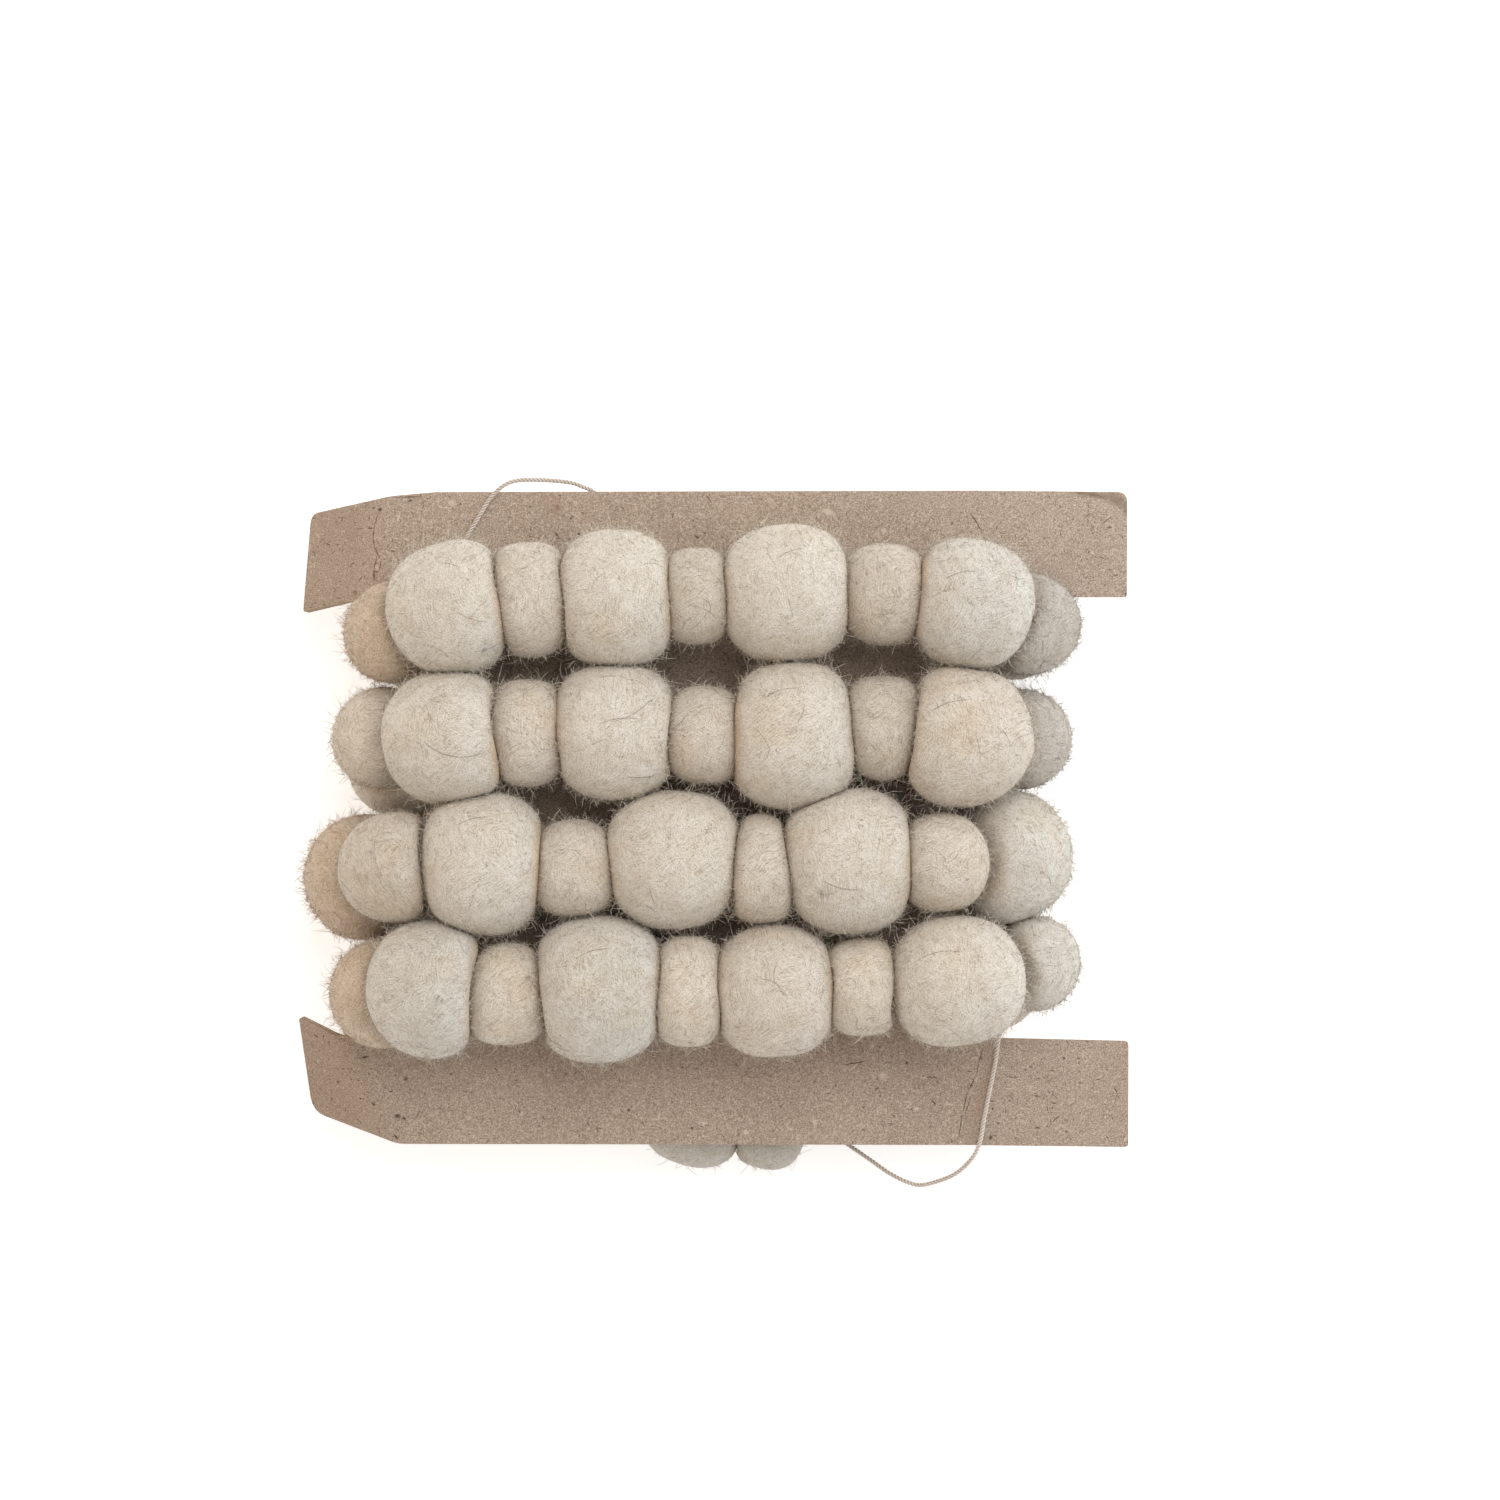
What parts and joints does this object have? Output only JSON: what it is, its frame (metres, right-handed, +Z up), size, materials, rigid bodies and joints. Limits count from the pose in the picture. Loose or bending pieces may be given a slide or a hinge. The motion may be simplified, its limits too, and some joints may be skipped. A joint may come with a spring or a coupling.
{
  "type": "felt ball garland wound on a card",
  "caption": "Garland of undyed felt balls, big and small in turn, wound round the waist of a notched grey card, with a cord loop at each end.",
  "frame": {"origin": "on the table, under the middle of the box round the balls and the card", "axes": "+X along the runs of the garland, towards the card's unbent right ends; +Y across the runs, towards the top flange; +Z up from the table, out of the front of the card"},
  "size_m": [0.2496, 0.2138, 0.0815],
  "materials": {
    "felt": "felted wool, matt and fuzzy",
    "grey_board": "uncoated recycled board",
    "cotton_cord": "twisted cotton"
  },
  "bodies": {
    "root": {"ball_back_0_1": "felt", "ball_back_0_2": "felt", "ball_back_0_3": "felt", "ball_back_0_4": "felt", "ball_back_0_5": "felt", "ball_back_1_1": "felt", "ball_back_1_7": "felt", "ball_back_2_1": "felt", "ball_back_2_8": "felt", "ball_back_3_1": "felt", "ball_back_3_8": "felt", "ball_back_4_1": "felt", "ball_back_4_2": "felt", "ball_back_4_3": "felt", "ball_back_4_4": "felt", "ball_back_4_5": "felt", "ball_back_4_6": "felt", "ball_front_1_1": "felt", "ball_front_1_2": "felt", "ball_front_1_3": "felt", "ball_front_1_4": "felt", "ball_front_1_5": "felt", "ball_front_1_6": "felt", "ball_front_1_7": "felt", "ball_front_1_8": "felt", "ball_front_1_9": "felt", "ball_front_2_1": "felt", "ball_front_2_2": "felt", "ball_front_2_3": "felt", "ball_front_2_4": "felt", "ball_front_2_5": "felt", "ball_front_2_6": "felt", "ball_front_2_7": "felt", "ball_front_2_8": "felt", "ball_front_2_9": "felt", "ball_front_3_1": "felt", "ball_front_3_2": "felt", "ball_front_3_3": "felt", "ball_front_3_4": "felt", "ball_front_3_5": "felt", "ball_front_3_6": "felt", "ball_front_3_7": "felt", "ball_front_3_8": "felt", "ball_front_3_9": "felt", "ball_front_4_1": "felt", "ball_front_4_2": "felt", "ball_front_4_3": "felt", "ball_front_4_4": "felt", "ball_front_4_5": "felt", "ball_front_4_6": "felt", "ball_front_4_7": "felt", "ball_front_4_8": "felt", "ball_front_4_9": "felt", "balls_back_1_middle": "felt", "balls_back_2_middle": "felt", "balls_back_3_middle": "felt", "card": "grey_board", "cord_loop_bottom": "cotton_cord", "cord_loop_top": "cotton_cord"}
  },
  "joints": []
}
